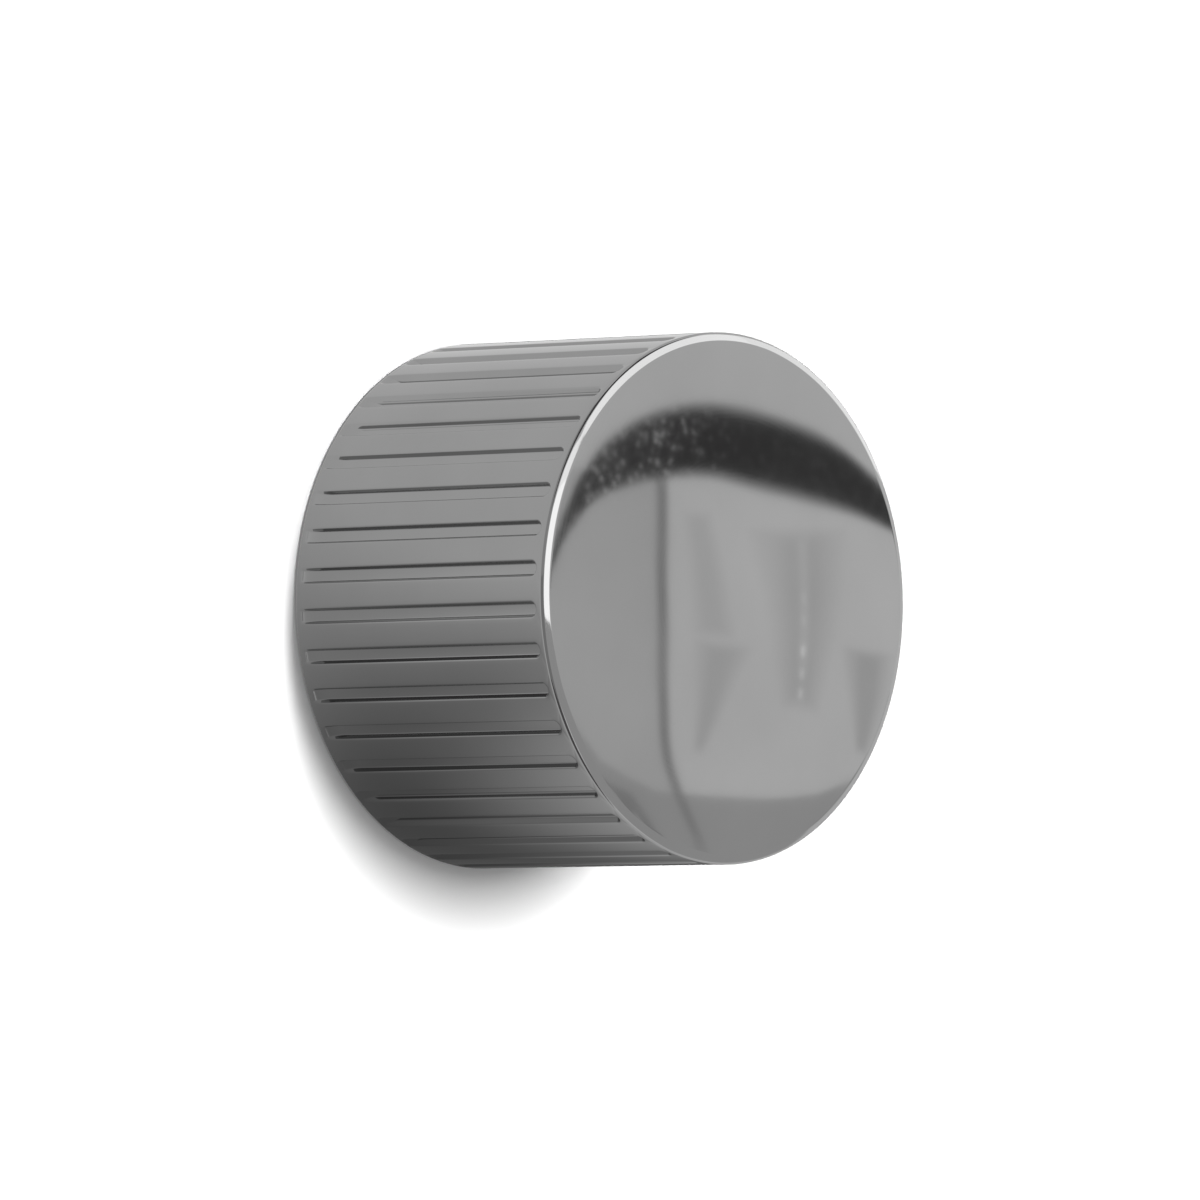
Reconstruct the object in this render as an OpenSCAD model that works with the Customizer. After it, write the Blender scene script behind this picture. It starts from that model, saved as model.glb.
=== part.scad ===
/* [Drum] */
// Diameter over the lands between the flutes
drum_d = 32; // [24:0.5:45]
// Projection of the whole knob, from the back face to the middle of the dome
knob_h = 22; // [17:0.5:34]
// Chamfer round the back edge
back_chamfer = 0.15; // [0.05:0.05:0.25]

/* [Flutes] */
// Number of flutes round the drum
flute_count = 41; // [24:1:48]
// Width of a flute between the lands
flute_w = 0.95; // [0.8:0.05:1.2]
// Width of a flute's flat floor
flute_floor_w = 0.66; // [0.4:0.02:0.72]
// Depth of a flute below the lands
flute_depth = 0.36; // [0.2:0.02:0.5]
// Angle of the first flute, turned up from the right-hand side seen from the front
flute_start = 176.6; // [0:0.1:360]
// Width of the plain rim between the back face and the flutes
foot_w = 0.3; // [0.3:0.05:1.5]
// Width of the plain collar between the flutes' front ends and the bevelled edge
collar_w = 0.5; // [0.3:0.05:2]

/* [Front] */
// Width of the bevelled edge round the face, across the radius
bevel_w = 0.5; // [0.3:0.05:0.9]
// Rise of the bevelled edge towards the front
bevel_h = 0.18; // [0.14:0.02:0.4]
// Rise of the domed face above its bevelled edge
dome_h = 1.3; // [0.6:0.1:2]

/* [Fixing hole] */
// Core diameter of the tapped hole
hole_d = 3.3; // [2.5:0.1:4.2]
// Depth of the tapped hole, without the drill point
hole_depth = 12; // [6:0.5:13]
// Mouth diameter of the countersink that leads into the hole
mouth_d = 4.4; // [4.3:0.1:6]
// Full angle of the drill point at the bottom of the hole
drill_angle = 118; // [90:1:140]

/* [Hidden] */
// Fineness of the drum's round forms
$fn = 180;
// Fineness of a flute's round ends
flute_fn = 36;
// Overrun of every cut past the faces that it leaves
overrun = 1;
// How far the bevel's line runs on above the face, as a share of the bevel
bevel_run_share = 1.5;
drum_r = drum_d / 2;
hole_r = hole_d / 2;
mouth_r = mouth_d / 2;
dome_edge_r = drum_r - bevel_w;
land_h = knob_h - dome_h - bevel_h;
dome_r = (pow(dome_edge_r, 2) + pow(dome_h, 2)) / (2 * dome_h);
mouth_h = mouth_r - hole_r;
point_h = hole_r / tan(drill_angle / 2);
floor_r = drum_r - flute_depth;
flute_cut_h = flute_depth + overrun;
flute_cut_w = flute_floor_w + (flute_w - flute_floor_w) * flute_cut_h / flute_depth;
bevel_end = [drum_r, land_h] + (1 + bevel_run_share) * [-bevel_w, bevel_h];
flute_low_h = foot_w + flute_w / 2;
flute_top_h = land_h - collar_w - flute_w / 2;

// Half section of the turned blank: radius across, distance from the back face upwards
module blank_section() {
    intersection() {
        polygon([
            [0, 0],
            [drum_r - back_chamfer, 0],
            [drum_r, back_chamfer],
            [drum_r, land_h],
            bevel_end,
            [bevel_end[0], knob_h + overrun],
            [0, knob_h + overrun]
        ]);
        translate([0, knob_h - dome_r]) circle(r = dome_r);
    }
}

// Round end of a flute, left by a tapered cutter that points at the drum's axis
module flute_end() {
    rotate([0, 90, 0])
        cylinder(d1 = flute_floor_w, d2 = flute_cut_w, h = flute_cut_h, $fn = flute_fn);
}

// Straight run of a flute, with a flat floor and leaning walls
module flute_run() {
    linear_extrude(height = flute_top_h - flute_low_h)
        polygon([
            [0, -flute_floor_w / 2],
            [flute_cut_h, -flute_cut_w / 2],
            [flute_cut_h, flute_cut_w / 2],
            [0, flute_floor_w / 2]
        ]);
}

// Straight flutes round the drum, closed by round ends just short of the back face and of the front edge
module flutes() {
    for (i = [0 : flute_count - 1]) {
        rotate(flute_start + i * 360 / flute_count)
            translate([floor_r, 0, 0]) {
                translate([0, 0, flute_low_h]) flute_run();
                translate([0, 0, flute_low_h]) flute_end();
                translate([0, 0, flute_top_h]) flute_end();
            }
    }
}

// Blind tapped hole with its countersink and the cone that the drill leaves
module fixing_hole() {
    rotate_extrude()
        polygon([
            [0, -overrun],
            [mouth_r + overrun, -overrun],
            [hole_r, mouth_h],
            [hole_r, hole_depth],
            [0, hole_depth + point_h]
        ]);
}

// The knob as it sits on a door: back face on the XZ plane, face towards -Y
module knob() {
    color("dimgray")
        rotate([90, 0, 0])
            difference() {
                rotate_extrude() blank_section();
                flutes();
                fixing_hole();
            }
}

knob();
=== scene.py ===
# %% [markdown]
# # A fluted cabinet knob
# The knob is one piece of metal: a drum with straight flutes round it, a narrow bevelled edge at the front and
# a gently domed, polished face. The flutes stop just short of both ends. The imported model gives the true size and
# place, so it is loaded first. All lengths below are
# millimetres until a mesh is made.

# %% Load the imported knob
import math
import bpy
import numpy as np
from mathutils import Matrix, Vector


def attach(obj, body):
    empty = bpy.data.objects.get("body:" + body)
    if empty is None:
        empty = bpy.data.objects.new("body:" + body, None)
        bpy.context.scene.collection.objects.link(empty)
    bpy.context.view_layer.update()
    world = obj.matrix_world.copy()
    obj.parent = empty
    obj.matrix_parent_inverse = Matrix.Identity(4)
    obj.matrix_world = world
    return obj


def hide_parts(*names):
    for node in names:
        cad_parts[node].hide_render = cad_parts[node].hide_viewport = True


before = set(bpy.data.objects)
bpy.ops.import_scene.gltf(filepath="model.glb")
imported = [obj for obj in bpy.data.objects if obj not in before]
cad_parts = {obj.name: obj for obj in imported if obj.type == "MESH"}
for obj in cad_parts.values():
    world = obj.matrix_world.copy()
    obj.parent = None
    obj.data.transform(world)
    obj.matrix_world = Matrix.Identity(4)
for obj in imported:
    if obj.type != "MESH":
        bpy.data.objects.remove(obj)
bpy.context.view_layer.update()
MM = 0.001
scene = bpy.context.scene

# %% [markdown]
# ## The turned section
# On a lathe the front of the knob is one line drawn by the tool: along the collar, round its corner, up the bevel
# and across the dome. Polishing has rounded both corners of the bevel, the outer one more than the inner. A
# small helper rounds a corner between two straight runs, and the line is put together from its pieces.

# %% Section of the front
DRUM_R = 16.0
KNOB_H = 22.0
BEVEL_W, BEVEL_H = 0.5, 0.18
DOME_H = 1.3
ROUND_R = 0.25
CREASE = 0.12
DOME_EDGE_R = DRUM_R - BEVEL_W
DOME_R = (DOME_EDGE_R ** 2 + DOME_H ** 2) / (2 * DOME_H)
LAND_H = KNOB_H - DOME_H - BEVEL_H


def fillet(before, corner, after, radius, n):
    """Arc of n points that rounds a corner between two straight runs."""
    u, v = before - corner, after - corner
    lu, lv = np.linalg.norm(u), np.linalg.norm(v)
    u, v = u / lu, v / lv
    half_angle = math.acos(max(-1, min(1, float(u @ v)))) / 2
    reach = min(radius / math.tan(half_angle), 0.45 * lu, 0.45 * lv)
    radius = reach * math.tan(half_angle)
    centre = corner + (u + v) / np.linalg.norm(u + v) * radius / math.sin(half_angle)
    p, q = corner + u * reach - centre, corner + v * reach - centre
    sweep = math.acos(max(-1, min(1, float(p @ q) / radius ** 2)))
    s = np.linspace(0, 1, n)[:, None]
    return centre + (np.sin((1 - s) * sweep) * p + np.sin(s * sweep) * q) / math.sin(sweep)


def on_dome(r):
    """Points (radius, height) of the domed face."""
    return np.stack([r, KNOB_H - DOME_R + np.sqrt(DOME_R ** 2 - np.square(r))], -1)


corner, crease = np.array([DRUM_R, LAND_H]), on_dome(np.array(DOME_EDGE_R))
outer = fillet(corner - [0, 1], corner, crease, ROUND_R, 9)
inner = fillet(corner, crease, on_dome(np.array(DOME_EDGE_R - CREASE)), 9, 5)
dome = on_dome((DOME_EDGE_R - CREASE) * (1 - np.linspace(0, 1, 18)[:-1] ** 1.15))
front = np.vstack([outer, (outer[-1] + inner[0]) / 2, inner, dome])
print("dome radius", round(DOME_R, 2), "points along the front:", len(front))

# %% [markdown]
# ## One flute and one land
# Each flute is a narrow slot, as if a tapered cutter pointing at the axis had run along the drum: a flat floor,
# leaning walls, a round end at the front and a short rise at the back. Polishing has softened the corners. The
# section is drawn once for half a pitch, across the slot, as depth over distance from its middle line.

# %% Cross-section of the grip
FLUTES = 41
FLUTE_W, FLOOR_W, FLUTE_DEPTH = 0.95, 0.66, 0.36
FLUTE_START = 176.6
EDGE_R, ROOT_R = 0.13, 0.09
LAND_RUN = 0.5


def flute_section():
    """Points (distance from the middle line, depth below the land), from the floor's middle to the land's edge."""
    foot, lip = np.array([FLOOR_W / 2, FLUTE_DEPTH]), np.array([FLUTE_W / 2, 0])
    floor, land = np.array([0, FLUTE_DEPTH]), np.array([FLUTE_W / 2 + LAND_RUN, 0])
    return np.vstack([floor, fillet(floor, foot, lip, ROOT_R, 5), fillet(foot, lip, land, EDGE_R, 7)])


section = flute_section()
half_land = math.pi / FLUTES * DRUM_R
print("points across half a flute:", len(section), "depth", section[0, 1], "reach", round(section[-1, 0], 3))

# %% [markdown]
# ## From section to skin
# A Boolean cut would leave ragged triangles at the slots' round ends. Instead the skin is built in layers, from
# the hole's mouth over the back edge, up the drum and across the face. A layer holds one pitch: the angle, radius
# and height of its points. Along the slot they follow its section. At the back the slot's floor ramps up to the
# rim. Round the front end the section is swept about the end's middle, so the points fan out, and on the plain
# rims they are evenly spread. All layers have the same number of points and join into a clean net of quads.

# %% Layers of one pitch
CHAMFER, BACK_R = 0.15, 0.12
MOUTH_R, LIP = 2.2, 0.08
BACK_RINGS = (MOUTH_R + LIP, 9, 14.5)
FOOT_W, COLLAR_W, RAMP = 0.3, 0.5, 1.4
LAND_STEPS, RAMP_STEPS, RUN_STEPS = 3, 6, 3
top_h = LAND_H - COLLAR_W - FLUTE_W / 2
reach = section[-1, 0]
land_across = np.linspace(reach, half_land, LAND_STEPS + 1)[1:]
across = np.concatenate([section[:, 0], land_across])
points_half = len(across)
even = np.linspace(0, half_land, points_half)


def mirrored_pitch(x, deep, h):
    """A layer from half a pitch: angles, radii and heights all the way to the next flute."""
    angle = np.concatenate([x, 2 * half_land - x[-2:0:-1]]) / DRUM_R
    deep = np.concatenate([deep, deep[-2:0:-1]])
    return angle, DRUM_R - deep, np.concatenate([h, h[-2:0:-1]])


def plain(r, h):
    """A layer on a round, uncut part."""
    return mirrored_pitch(even, np.full(points_half, DRUM_R - r), np.full(points_half, h))


def depth_at(distance):
    """Depth of the slot at a distance from its middle line, or from the middle of its round end."""
    return np.interp(distance, section[:, 0], section[:, 1], right=0)


def end_layer(middle_h, along):
    """A layer through a round end, a step along from the end's middle."""
    spread = np.sqrt(np.maximum(np.square(section[:, 0]) - along ** 2, 0))
    inside = section[:, 0] > abs(along)
    x = np.where(inside, spread, 0)
    first = int(np.argmax(inside)) if inside.any() else len(section)
    x[:first] = np.linspace(0, x[first] if inside.any() else 0.0, first, endpoint=False)
    x = np.concatenate([x, x[-1] + (half_land - x[-1]) * np.linspace(0, 1, LAND_STEPS + 1)[1:]])
    return mirrored_pitch(x, depth_at(np.hypot(x, along)), np.full(points_half, middle_h + along))


low, rim = np.array([DRUM_R - CHAMFER, 0]), np.array([DRUM_R, CHAMFER])
heel = np.vstack([fillet(np.array([MOUTH_R, 0]), low, rim, BACK_R, 4),
                  fillet(low, rim, rim + [0, 1], BACK_R, 3)])
steps = np.concatenate([np.linspace(0.05, 0.25, 4), section[2:, 0] - 0.004])
straight = (across, np.concatenate([section[:, 1], np.zeros(LAND_STEPS)]))
layers = [plain(r, 0) for r in BACK_RINGS] + [plain(r, h) for r, h in heel]
for u in np.linspace(0, 1, RAMP_STEPS + 1)[:-1]:
    layers.append(mirrored_pitch(across, straight[1] * u * (2 - u), np.full(points_half, FOOT_W + RAMP * u)))
for h in np.linspace(FOOT_W + RAMP, top_h, RUN_STEPS + 1):
    layers.append(mirrored_pitch(*straight, np.full(points_half, h)))
layers += [end_layer(top_h, step) for step in steps]
layers += [plain(r, h) for r, h in front]
angles, radii, heights = (np.array([layer[k] for layer in layers]).T for k in range(3))
turns = math.radians(FLUTE_START) + 2 * math.pi * np.arange(FLUTES) / FLUTES
col_angle = (turns[:, None, None] + angles).reshape(-1, angles.shape[1])
lines = np.tile(np.stack([radii, heights], -1), (FLUTES, 1, 1))
print("columns round the drum:", lines.shape[0], "layers:", lines.shape[1])

# %% [markdown]
# ## The screw thread
# The back holds a blind hole tapped for the fixing screw. A thread is a groove wound on a helix, so the wall
# of the hole is a sheet wound the same way: its radius swings between core and crest as it goes round. The
# groove fades out above the bottom, where a tap leaves the plain drilled core and the drill's cone.

# %% Threaded hole
HOLE_R, HOLE_DEPTH = 1.65, 12.0
THREAD_R, THREAD_PITCH, THREAD_END = 1.99, 0.7, 10.2
DRILL_ANGLE = 118
THREAD_ROWS, RUN_OUT = 150, 0.7
POINT_H = HOLE_R / math.tan(math.radians(DRILL_ANGLE / 2))
hole_turns = 60
hole_z = np.concatenate([np.linspace(0, THREAD_END + 0.8, THREAD_ROWS), [HOLE_DEPTH - 0.5, HOLE_DEPTH]])
hole_a = np.linspace(0, 2 * math.pi, hole_turns, endpoint=False)
phase = (hole_z[None, :] / THREAD_PITCH - hole_a[:, None] / (2 * math.pi)) % 1
vee = np.clip(1.25 - np.abs(phase - 0.5) * 2.9, 0, 1)
fade = np.clip((THREAD_END - hole_z) / RUN_OUT + 1, 0, 1)
hole_r = HOLE_R + (THREAD_R - HOLE_R) * vee * fade
hole_r = np.maximum(hole_r, (MOUTH_R - hole_z)[None, :])
hole_r[:, 0] = MOUTH_R
print("thread turns:", round(THREAD_END / THREAD_PITCH, 1))

# %% [markdown]
# ## Building the mesh
# The columns and the hole go into one mesh, because the knob is one solid. Heights become distance in front
# of the door, along -Y. The dome closes on a single point, and a ring of triangles joins the hole's mouth to
# the back face, so the skin has no open edge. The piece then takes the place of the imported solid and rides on
# its body.

# %% Knob mesh
def ring_faces(n_cols, n_rows, first, flip):
    """Quads of a net that closes on itself sideways; flip turns them over."""
    i, j = np.meshgrid(np.arange(n_cols), np.arange(n_rows - 1), indexing="ij")
    k = (i + 1) % n_cols
    quad = np.stack([i * n_rows + j, k * n_rows + j, k * n_rows + j + 1, i * n_rows + j + 1], -1).reshape(-1, 4)
    return (quad[:, ::-1] if flip else quad) + first


def placed(angle, radius, height):
    """Points in space from angle, radius and distance in front of the door."""
    return np.stack([radius * np.cos(angle), -height, radius * np.sin(angle)], -1).reshape(-1, 3)


skin = placed(col_angle, lines[:, :, 0], lines[:, :, 1])
wall_of_hole = placed(hole_a[:, None], hole_r, np.broadcast_to(hole_z, hole_r.shape))
pole = len(skin)
rows, hole_rows = lines.shape[1], len(hole_z)
verts = np.vstack([skin, [[0, -KNOB_H, 0]], wall_of_hole, [[0, -HOLE_DEPTH - POINT_H, 0]]])
columns = len(col_angle)
faces = ring_faces(columns, rows, 0, False).tolist()
faces += [[i * rows + rows - 1, (i + 1) % columns * rows + rows - 1, pole] for i in range(columns)]
faces += ring_faces(hole_turns, hole_rows, pole + 1, True).tolist()
last = pole + hole_rows
tip = len(verts) - 1
faces += [[last + (i + 1) % hole_turns * hole_rows, last + i * hole_rows, tip] for i in range(hole_turns)]
nearest = np.rint(col_angle[:, 0] / (2 * math.pi) * hole_turns).astype(int) % hole_turns
mouth = (pole + 1 + nearest * hole_rows).tolist()
for i in range(columns):
    k = (i + 1) % columns
    faces.append([k * rows, i * rows, mouth[i]])
    if mouth[i] != mouth[k]:
        faces.append([k * rows, mouth[i], mouth[k]])
mesh = bpy.data.meshes.new("knob_turned")
mesh.from_pydata((verts * MM).tolist(), [], faces)
mesh.validate()
mesh.shade_smooth()
knob = bpy.data.objects.new("knob_turned", mesh)
scene.collection.objects.link(knob)
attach(knob, "root")
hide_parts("knob")
print("knob triangles:", sum(len(p.vertices) - 2 for p in mesh.polygons))

# %% [markdown]
# ## Polished metal
# The knob has a dark, bright-polished metal finish. Polished metal is mostly what it mirrors, so the colour is
# one grey with only a faint cloudiness, and the life is in the roughness: it wanders a little, as buffing
# leaves it, and very fine polishing lines run round the face.

# %% Metal material
metal = bpy.data.materials.new("polished_metal")
metal.use_nodes = True
nt = metal.node_tree
bsdf = nt.nodes["Principled BSDF"]
bsdf.inputs["Metallic"].default_value = 1.0


def node(tree, kind, **values):
    """A new shader node. Names that start with in_ set an input socket, the others a setting of the node."""
    made = tree.nodes.new(kind)
    for key, value in values.items():
        if key.startswith("in_"):
            made.inputs[key[3:].replace("_", " ")].default_value = value
        else:
            setattr(made, key, value)
    return made


place = node(nt, "ShaderNodeTexCoord")
cloud = node(nt, "ShaderNodeTexNoise", in_Scale=90.0, in_Detail=4.0)
nt.links.new(place.outputs["Object"], cloud.inputs["Vector"])
tone = node(nt, "ShaderNodeValToRGB")
tone.color_ramp.elements[0].position, tone.color_ramp.elements[1].position = 0.3, 0.7
tone.color_ramp.elements[0].color = (0.325, 0.325, 0.325, 1)
tone.color_ramp.elements[1].color = (0.355, 0.355, 0.355, 1)
nt.links.new(cloud.outputs["Fac"], tone.inputs["Fac"])
nt.links.new(tone.outputs["Color"], bsdf.inputs["Base Color"])
smudge = node(nt, "ShaderNodeTexNoise", in_Scale=260.0, in_Detail=6.0, in_Roughness=0.65)
nt.links.new(place.outputs["Object"], smudge.inputs["Vector"])
rough = node(nt, "ShaderNodeMapRange", in_From_Min=0.3, in_From_Max=0.7, in_To_Min=0.044, in_To_Max=0.058)
nt.links.new(smudge.outputs["Fac"], rough.inputs["Value"])
rings = node(nt, "ShaderNodeTexWave", wave_type="RINGS", rings_direction="Y", in_Scale=1200.0,
             in_Distortion=1.5)
nt.links.new(place.outputs["Object"], rings.inputs["Vector"])
LINE_ROUGHNESS = 0.006
lined = node(nt, "ShaderNodeMath", operation="MULTIPLY_ADD")
lined.inputs[1].default_value = LINE_ROUGHNESS
nt.links.new(rings.outputs["Fac"], lined.inputs[0])
nt.links.new(rough.outputs["Result"], lined.inputs[2])
nt.links.new(lined.outputs["Value"], bsdf.inputs["Roughness"])
mesh.materials.append(metal)
print("metal nodes:", len(nt.nodes))

# %% [markdown]
# ## The surface behind the knob
# The knob is fixed to a plain white surface, which fills the picture and takes the soft shadow. It is shown
# from the front only, so a camera behind it still sees the knob's back. The grip mirrors this surface all
# along its side, where a wide soft shade lies below the knob, so mirror rays are given a white with that shade
# painted into it.

# %% White door front
door_mesh = bpy.data.meshes.new("door_front")
SIDE, BEHIND = 1.2, 0.00005
door_mesh.from_pydata([(-SIDE, BEHIND, -SIDE), (SIDE, BEHIND, -SIDE), (SIDE, BEHIND, SIDE),
                       (-SIDE, BEHIND, SIDE)], [], [(0, 1, 2, 3)])
door = bpy.data.objects.new("door_front", door_mesh)
scene.collection.objects.link(door)
white = bpy.data.materials.new("white_door")
white.use_nodes = True
nt = white.node_tree
nt.nodes.remove(nt.nodes["Principled BSDF"])
SHADE_AT, SHADE_SIZE = (8.3, -15.4), (77.6, 27.4)
spot = node(nt, "ShaderNodeTexCoord")
shift = node(nt, "ShaderNodeMapping", vector_type="TEXTURE")
shift.inputs["Location"].default_value = (SHADE_AT[0] * MM, 0, SHADE_AT[1] * MM)
shift.inputs["Scale"].default_value = (SHADE_SIZE[0] * MM, 1, SHADE_SIZE[1] * MM)
fall = node(nt, "ShaderNodeTexGradient", gradient_type="SPHERICAL")
shade = node(nt, "ShaderNodeMapRange", interpolation_type="SMOOTHSTEP", in_From_Min=0.015, in_From_Max=0.90,
             in_To_Min=0.83, in_To_Max=0.11)
# Mirror rays see this glow instead of the lit surface: a painted reflection, white, with a painted shade below the
# knob.
painted_glow = node(nt, "ShaderNodeEmission")
paint = node(nt, "ShaderNodeBsdfDiffuse", in_Color=(0.9, 0.9, 0.9, 1))
clear = node(nt, "ShaderNodeBsdfTransparent")
side = node(nt, "ShaderNodeNewGeometry")
ray = node(nt, "ShaderNodeLightPath")
mirrored = node(nt, "ShaderNodeMixShader")
mix = node(nt, "ShaderNodeMixShader")
nt.links.new(spot.outputs["Object"], shift.inputs["Vector"])
nt.links.new(shift.outputs["Vector"], fall.inputs["Vector"])
nt.links.new(fall.outputs["Fac"], shade.inputs["Value"])
nt.links.new(shade.outputs["Result"], painted_glow.inputs["Strength"])
nt.links.new(ray.outputs["Is Glossy Ray"], mirrored.inputs["Fac"])
nt.links.new(paint.outputs["BSDF"], mirrored.inputs[1])
nt.links.new(painted_glow.outputs["Emission"], mirrored.inputs[2])
nt.links.new(side.outputs["Backfacing"], mix.inputs["Fac"])
nt.links.new(mirrored.outputs["Shader"], mix.inputs[1])
nt.links.new(clear.outputs["BSDF"], mix.inputs[2])
nt.links.new(mix.outputs["Shader"], nt.nodes["Material Output"].inputs["Surface"])
door_mesh.materials.append(white)
print("door normal:", tuple(round(v, 2) for v in door_mesh.polygons[0].normal))

# %% [markdown]
# ## Light
# Two things make the light. The world fills the shadows softly, and one narrow, tall lamp a little above
# straight ahead throws the crescent of shadow under the knob. The world is white where the camera or the metal
# looks at it, and dimmer as a light. The metal doesn't mirror the lamp.

# %% World and key lamp
world = bpy.data.worlds.new("pale_room")
scene.world = world
world.use_nodes = True
nt = world.node_tree
background = nt.nodes["Background"]
background.inputs["Color"].default_value = (1, 1, 1, 1)
ray = node(nt, "ShaderNodeLightPath")
either = node(nt, "ShaderNodeMath", operation="MAXIMUM")
any_of = node(nt, "ShaderNodeMath", operation="MAXIMUM")
level = node(nt, "ShaderNodeMapRange", in_To_Min=0.40, in_To_Max=1.0)
nt.links.new(ray.outputs["Is Camera Ray"], either.inputs[0])
nt.links.new(ray.outputs["Is Glossy Ray"], either.inputs[1])
nt.links.new(either.outputs["Value"], any_of.inputs[0])
nt.links.new(ray.outputs["Is Transmission Ray"], any_of.inputs[1])
nt.links.new(any_of.outputs["Value"], level.inputs["Value"])
nt.links.new(level.outputs["Result"], background.inputs["Strength"])


def direction(right, up):
    """Unit vector towards a point of the room, in degrees to the right of straight ahead of the knob and up."""
    a, e = math.radians(right), math.radians(up)
    return Vector((math.sin(a) * math.cos(e), -math.cos(a) * math.cos(e), math.sin(e)))


def soft_lamp(name, right, up, distance, wide, high, radiance):
    """A rectangular lamp that faces the knob."""
    lamp = bpy.data.lights.new(name, "AREA")
    lamp.shape, lamp.size, lamp.size_y = "RECTANGLE", wide, high
    lamp.energy = radiance * wide * high * math.pi
    thing = bpy.data.objects.new(name, lamp)
    thing.location = direction(right, up) * distance
    thing.rotation_euler = (-direction(right, up)).to_track_quat("-Z", "Y").to_euler()
    scene.collection.objects.link(thing)
    return thing


key = soft_lamp("key", right=0.3, up=5.6, distance=0.9, wide=0.045, high=0.18, radiance=300)
key.visible_glossy = False

# %% [markdown]
# ## What the metal mirrors
# A polished thing is drawn by its room. Each part of the room is a card set on a far sphere, given by its edges
# in degrees right of and above straight ahead of the knob. A card is a strip between two edges, and it may fade
# towards them, as things in a room are out of focus in a curved mirror. Only the metal sees the cards, so they
# change its reflections and nothing else. First comes the glow that a card is made of.

# %% Glow of a card
def glow(name, radiance, speckle=None, soft=0):
    """A plain glow, or one with brighter specks: their scale, their level, and the room's x where they fade out.

    With soft set, the card's own cover values let it fade at its edges.
    """
    made = bpy.data.materials.new(name)
    made.use_nodes = True
    nt = made.node_tree
    nt.nodes.remove(nt.nodes["Principled BSDF"])
    light = node(nt, "ShaderNodeEmission", in_Strength=radiance)
    nt.links.new(light.outputs["Emission"], nt.nodes["Material Output"].inputs["Surface"])
    if speckle:
        where = node(nt, "ShaderNodeTexCoord")
        dots = node(nt, "ShaderNodeTexNoise", in_Scale=speckle[0], in_Detail=0.0)
        spread = node(nt, "ShaderNodeMapRange", in_From_Min=0.61, in_From_Max=0.77, in_To_Min=radiance)
        split = node(nt, "ShaderNodeSeparateXYZ")
        fade = node(nt, "ShaderNodeMapRange", in_From_Min=speckle[2], in_From_Max=speckle[3], in_To_Min=speckle[1],
                    in_To_Max=2 * radiance)
        nt.links.new(where.outputs["Object"], dots.inputs["Vector"])
        nt.links.new(where.outputs["Object"], split.inputs["Vector"])
        nt.links.new(split.outputs["X"], fade.inputs["Value"])
        nt.links.new(fade.outputs["Result"], spread.inputs["To Max"])
        nt.links.new(dots.outputs["Fac"], spread.inputs["Value"])
        nt.links.new(spread.outputs["Result"], light.inputs["Strength"])
    if soft:
        cover = node(nt, "ShaderNodeAttribute", attribute_name="cover")
        nothing = node(nt, "ShaderNodeBsdfTransparent")
        blend = node(nt, "ShaderNodeMixShader")
        nt.links.new(cover.outputs["Fac"], blend.inputs["Fac"])
        nt.links.new(nothing.outputs["BSDF"], blend.inputs[1])
        nt.links.new(light.outputs["Emission"], blend.inputs[2])
        nt.links.new(blend.outputs["Shader"], nt.nodes["Material Output"].inputs["Surface"])
    return made


# %% [markdown]
# ## The shape of a card
# A card's edges are given at a few places and filled in between. The strip is a small grid of quads bent onto
# the sphere. A soft card has rounded corners and holds a cover value at each point, 0 at its border and 1
# inside. Cards that overlap stand at slightly different distances, so none lies in another.

# %% Card on the far sphere
ROOM_R = 8.0
STEPS_ALONG, STEPS_OVER, END_FADE = 60, 12, 5


def card(name, edges, radiance, near=0.0, speckle=None, standing=False, soft=0):
    """A strip of the room: edges holds (right, upper, lower) in degrees, or (up, left, right) if it stands.

    near is how far in front of the sphere it stands, and soft over how many steps it fades at each edge.
    """
    edges = np.array(edges, float)
    along = np.linspace(edges[0, 0], edges[-1, 0], STEPS_ALONG)
    order = np.argsort(edges[:, 0])
    first = np.interp(along, edges[order, 0], edges[order, 1])
    second = np.interp(along, edges[order, 0], edges[order, 2])
    if soft:
        first, second = (np.convolve(np.pad(v, 3, "edge"), np.ones(7) / 7, "valid") for v in (first, second))
    points = []
    for where, one, two in zip(along, first, second):
        for over in np.linspace(one, two, STEPS_OVER):
            points.append(direction(*((over, where) if standing else (where, over))) * (ROOM_R - near))
    corners = [i * STEPS_OVER + k for i in range(STEPS_ALONG - 1) for k in range(STEPS_OVER - 1)]
    quads = [(c, c + STEPS_OVER, c + STEPS_OVER + 1, c + 1) for c in corners]
    shape = bpy.data.meshes.new(name)
    shape.from_pydata(points, [], quads)
    shape.materials.append(glow(name, radiance, speckle, soft))
    if soft:
        i, k = np.meshgrid(np.arange(STEPS_ALONG), np.arange(STEPS_OVER), indexing="ij")
        inset = np.minimum(np.minimum(i, STEPS_ALONG - 1 - i) / END_FADE, np.minimum(k, STEPS_OVER - 1 - k) / soft)
        cover = shape.attributes.new("cover", "FLOAT", "POINT")
        cover.data.foreach_set("value", np.clip(inset, 0, 1).ravel())
    thing = bpy.data.objects.new(name, shape)
    scene.collection.objects.link(thing)
    thing.visible_camera = thing.visible_diffuse = thing.visible_shadow = thing.visible_transmission = False
    return thing


# %% [markdown]
# ## The room in the face
# The domed face mirrors a narrow part of the room, to the right of straight ahead: pale walls with an upright
# line between them, a few faint darker fields, and over them a dark arch with fine specks at its left.

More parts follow.
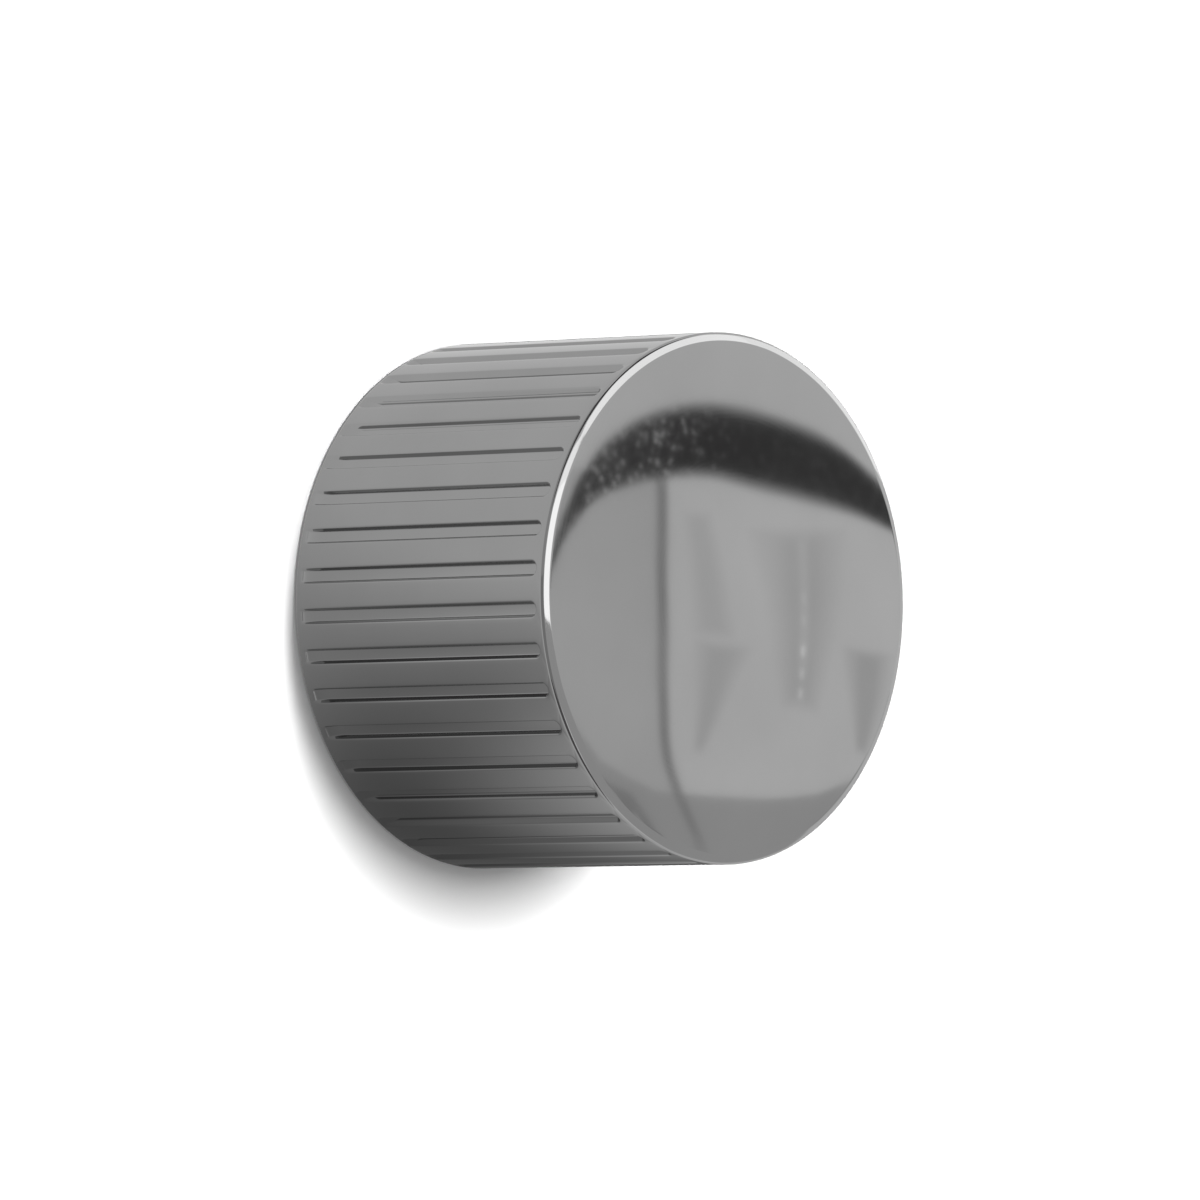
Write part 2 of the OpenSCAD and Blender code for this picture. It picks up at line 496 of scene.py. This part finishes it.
# %% Cards in the face
card("room_low", [(-110, -1.5, -60), (24, -1.5, -60), (30, -5, -60), (33.4, -7.2, -60), (38.7, -8.4, -60),
                  (46.3, -7.8, -60), (51.2, -7.3, -60), (56.2, -6.5, -60), (60.1, -5.7, -60), (62, -4.6, -60),
                  (70, -3.2, -60)], 0.66)
card("low_patch", [(33.5, -8.2, -11.5), (37, -8.8, -12.5), (41, -10.8, -12.8)], 0.46, near=0.01)
card("room_right", [(38.6, 11, -8.6), (60, 11, -6.2), (69, 9, -4.5)], 1.06, near=-0.01)
card("room_left", [(10.5, 25, 39.1), (4.5, 25, 38.3), (-1.6, 25, 38.6), (-5.7, 25, 39.6), (-7.4, 25, 40.8),
                   (-8.8, 25, 42.4)], 0.86, near=-0.005, standing=True)
card("upright", [(11.0, 38.3, 40.0), (4.5, 37.4, 39.1), (-1.6, 37.8, 39.4), (-5.7, 38.8, 40.4),
                 (-7.4, 40.0, 41.7), (-9.3, 42.5, 44.2), (-11.5, 46.0, 47.7)], 0.45, near=0.02, standing=True, soft=4)
fields = {
    "left_zone": ([(8.0, 40.5, 44.1), (0.8, 41.2, 46.7)], 0.92),
    "vee": ([(7.1, 47.3, 60.8), (2.0, 49.6, 58.5), (-2.4, 51.9, 56.7)], 0.86),
    "wedge_left": ([(0.7, 41.3, 48.8), (-2.3, 42.0, 46.2), (-5.8, 42.6, 43.8)], 0.86),
    "wedge_right": ([(1.3, 58.6, 66.4), (-1.1, 59.9, 65.4), (-3.7, 61.8, 63.3)], 0.79),
}
for name, (edges, radiance) in fields.items():
    card(name, edges, radiance, near=0.02, standing=True, soft=4)
card("pale_line", [(6.7, 53.4, 55.1), (-0.5, 53.6, 55.0)], 0.97, near=0.03, standing=True, soft=4)
for i, (at, shine) in enumerate(((3.4, 1.1), (2.3, 1.1), (0.73, 1.5), (-0.43, 1.3), (-1.44, 1.3))):
    card(f"dot_{i}", [(at + 0.25, 53.95, 54.45), (at - 0.25, 53.95, 54.45)], shine, near=0.04, standing=True)
card("arch_tail", [(26.4, 3.4, 2.5), (27.8, 5.8, 4.7), (28.8, 7.6, 6.4), (30.2, 9.5, 8.0),
                   (31.2, 10.4, 8.6)], 0.09, near=0.06)
card("dark_arch", [(27.2, 5.0, 3.6), (28.8, 7.9, 6.2), (30, 9.6, 7.7), (31.6, 11.2, 8.4), (34.4, 12.7, 9.1),
                   (38.5, 13.9, 9.6), (44.1, 14.3, 9.7), (48.8, 13.8, 8.9), (54.5, 12.7, 8.2), (59.5, 11.5, 7.6),
                   (62.8, 10.2, 7.2), (65.7, 8.8, 6.7), (67.5, 7.7, 6.4), (72, 5.9, 4.7)], 0.07, near=0.05,
     speckle=(21.0, 1.5, 4.2, 5.8), soft=1.5)
card("right_edge", [(66.8, -1, -14), (71, -1, -14)], 0.45, near=0.03)

# %% [markdown]
# ## The room in the edges
# The bevel and the rounded corners look at other parts of the room. Bright cards make the white ring on the
# bevel, a dark card above draws the thin line outside it, and greys on the camera's side keep the flutes' ends
# quiet.

# %% Cards in the edges
card("tall_light", [(-3, 17, -1.8), (14, 17, -1.8)], 2.6, near=0.03)
card("top_light", [(2, 23, 16), (15, 24, 16.5), (16, 42, 22.5), (60, 42, 22.5)], 2.2, near=0.03)
card("side_light", [(60, 34, 20), (70, 32, 15), (96, 26, 10)], 2.0, near=0.03)
card("low_light", [(-12, -22, -40), (2, -22, -40)], 1.2, near=0.03)
card("camera_side", [(-110, 6, -32), (-15, 6, -32)], 0.40, near=0.04)
card("camera_high", [(-110, 76, 6), (-15, 76, 6)], 0.55, near=0.04)
card("camera_low", [(-110, -32, -90), (-15, -32, -90)], 0.16, near=0.04)
card("dark_above", [(-45, 72, 26), (-5, 74, 30), (16, 76, 44), (60, 76, 44)], 0.10, near=0.05)

# %% [markdown]
# ## Camera
# The view is from the knob's left and a touch below, far off with a long lens, so the knob's edges stay nearly
# parallel. The lens is set by the width that it takes in at the knob.

# %% Camera
AZIMUTH, ELEVATION, ROLL = -46.65, -3.19, 1.14
DISTANCE, HALF_WIDTH = 0.9, 36.34
AIM_Y, AIM_RIGHT, AIM_UP = -9.58, 0.454, 0.164
towards = direction(AZIMUTH, ELEVATION)
right = Vector((math.cos(math.radians(AZIMUTH)), math.sin(math.radians(AZIMUTH)), 0))
up = right.cross(-towards)
aim = (Vector((0, AIM_Y, 0)) + right * AIM_RIGHT + up * AIM_UP) * MM
lens = bpy.data.cameras.new("camera")
lens.sensor_fit = "HORIZONTAL"
lens.angle = 2 * math.atan(HALF_WIDTH * MM / DISTANCE)
lens.clip_start, lens.clip_end = 0.01, 20
camera = bpy.data.objects.new("camera", lens)
turn = Matrix((right, up, towards)).transposed().to_4x4() @ Matrix.Rotation(math.radians(ROLL), 4, "Z")
camera.matrix_world = Matrix.Translation(aim + towards * DISTANCE) @ turn
scene.collection.objects.link(camera)
scene.camera = camera
scene.view_settings.view_transform = "Standard"
print("camera at", tuple(round(v, 4) for v in camera.location))
